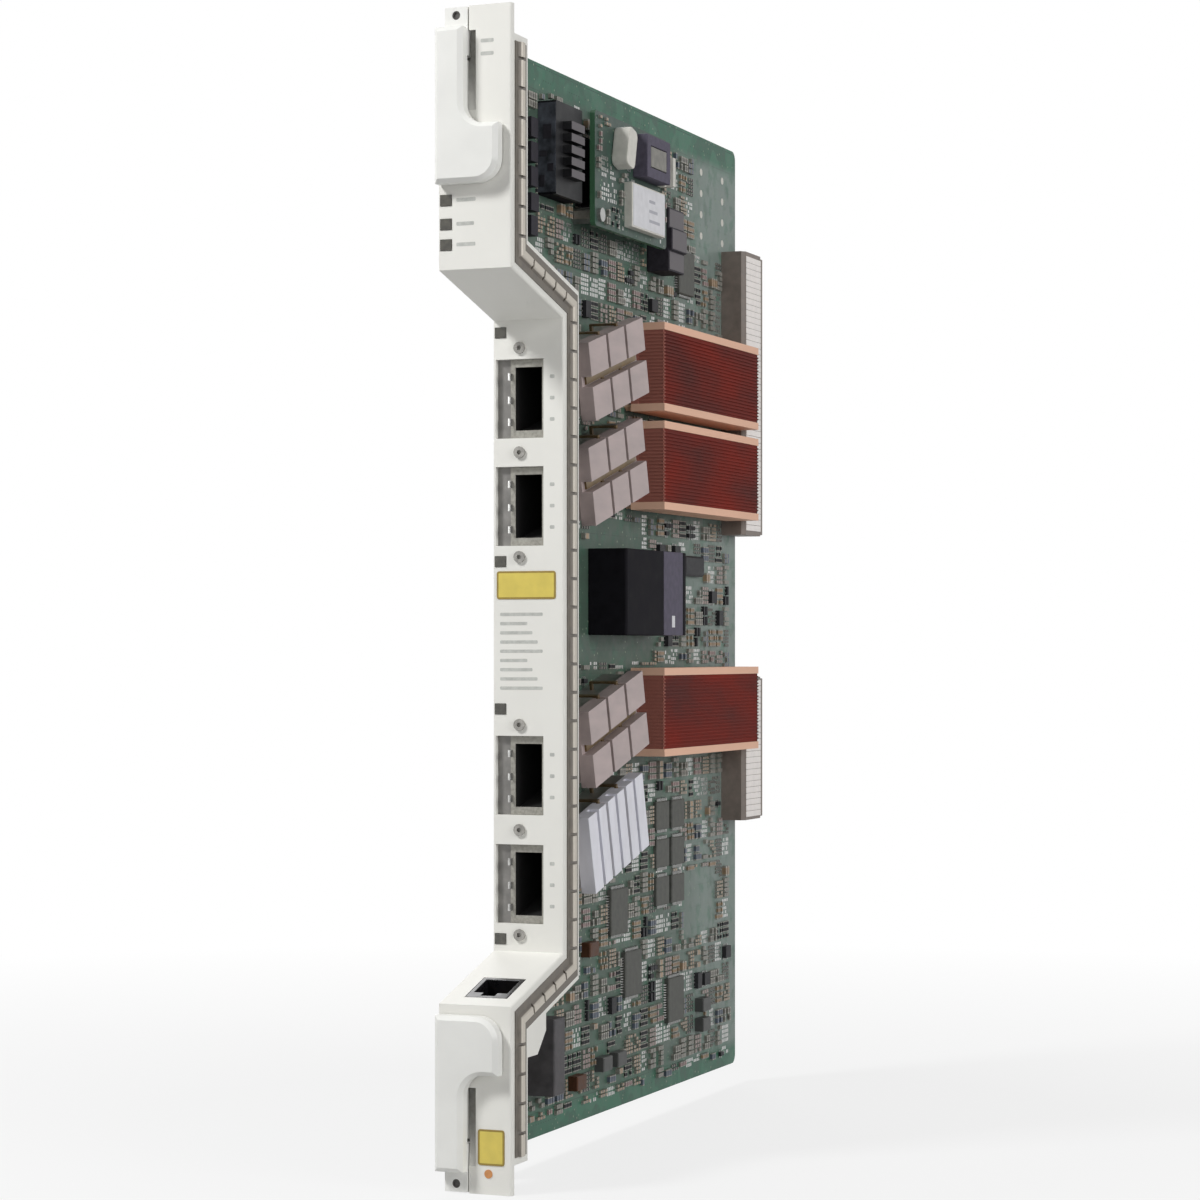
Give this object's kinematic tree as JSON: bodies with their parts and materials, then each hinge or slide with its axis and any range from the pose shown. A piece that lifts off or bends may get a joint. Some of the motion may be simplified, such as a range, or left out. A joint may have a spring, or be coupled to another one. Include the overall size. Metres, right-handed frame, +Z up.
{
  "type": "ethernet crossponder card",
  "caption": "plug-in optical ethernet line card with a recessed faceplate, ejector levers, slanted transceiver bays, copper heat sinks and rear backplane connectors",
  "frame": {"origin": "middle of the circuit board's lower edge, which rests in the shelf's lower card guide", "axes": "+X out of the component side, +Y from the faceplate to the backplane connectors, +Z up the card"},
  "size_m": [0.0227, 0.2393, 0.3213],
  "materials": {
    "panel_paint": "off-white fine-textured powder coat",
    "lever_plastic": "off-white moulded nylon, satin",
    "spring_strip": "beryllium-copper spring strip, tin plated, dull",
    "bright_steel": "plain turned steel",
    "light_window": "smoke-tinted moulded light pipe, unlit",
    "board_green": "green solder mask on glass-epoxy laminate",
    "cage_sheet": "nickel-plated folded sheet",
    "sink_grey": "extruded aluminium, dull grey",
    "sink_pale": "extruded aluminium, bright",
    "clip_spring": "spring steel, dark straw coloured",
    "copper": "bare copper, darkened between the fins",
    "chip_epoxy": "moulded epoxy, matt black",
    "module_black": "black moulded case, satin",
    "black_anodised": "black anodised aluminium",
    "ferrite_grey": "sintered ferrite, blue grey",
    "connector_shell": "glass-filled moulding, brown grey",
    "jack_black": "black moulded jack",
    "pale_plastic": "off-white moulded plastic",
    "tantalum_amber": "amber moulded capacitor case",
    "choke_dark": "dark pressed-powder choke"
  },
  "bodies": {
    "card": {"faceplate": "panel_paint", "shield_finger_strip": "spring_strip", "upper_lever_pin": "bright_steel", "lower_lever_pin": "bright_steel", "status_light_pipe": "light_window", "port_light_pipes": "light_window", "circuit_board": "board_green", "board_screws": "bright_steel", "panel_screws": "bright_steel", "upper_port_gasket": "cage_sheet", "lower_port_gasket": "cage_sheet", "console_jack": "jack_black", "heat_sink_screws": "bright_steel", "converter_block": "module_black", "converter_core": "ferrite_grey", "power_brick": "module_black", "brick_heat_sink": "black_anodised", "mezzanine_board": "board_green", "mezzanine_spacers": "bright_steel", "mezzanine_screws": "bright_steel", "mezzanine_plug": "module_black", "potted_block": "pale_plastic", "transformer_core": "ferrite_grey", "transformer_bobbin": "pale_plastic", "terminal_strip": "pale_plastic", "film_capacitor": "pale_plastic", "choke": "choke_dark", "upper_backplane_connector": "connector_shell", "lower_backplane_connector": "connector_shell", "line_filter": "module_black", "memory_chips": "chip_epoxy", "logic_chips": "chip_epoxy", "tantalum_capacitors": "tantalum_amber", "transceiver_cage_1": "cage_sheet", "host_connector_1": "module_black", "cage_heat_sink_1": "sink_grey", "cage_clip_1": "clip_spring", "transceiver_cage_2": "cage_sheet", "host_connector_2": "module_black", "cage_heat_sink_2": "sink_grey", "cage_clip_2": "clip_spring", "transceiver_cage_3": "cage_sheet", "host_connector_3": "module_black", "cage_heat_sink_3": "sink_grey", "cage_clip_3": "clip_spring", "transceiver_cage_4": "cage_sheet", "host_connector_4": "module_black", "cage_heat_sink_4": "sink_pale", "cage_clip_4": "clip_spring", "copper_heat_sink_1": "copper", "processor_1": "chip_epoxy", "copper_heat_sink_2": "copper", "processor_2": "chip_epoxy", "copper_heat_sink_3": "copper", "processor_3": "chip_epoxy"},
    "upper_lever": {"upper_ejector_lever": "lever_plastic"},
    "lower_lever": {"lower_ejector_lever": "lever_plastic"}
  },
  "joints": [
    {"name": "upper_lever_hinge", "type": "hinge", "parent": "card", "child": "upper_lever", "pos_m": [0, -0.1168, 0.305], "axis": [-1, 0, 0], "range_deg": [0, 70]},
    {"name": "lower_lever_hinge", "type": "hinge", "parent": "card", "child": "lower_lever", "pos_m": [0, -0.1168, 0.0023], "axis": [1, 0, 0], "range_deg": [0, 70]}
  ]
}
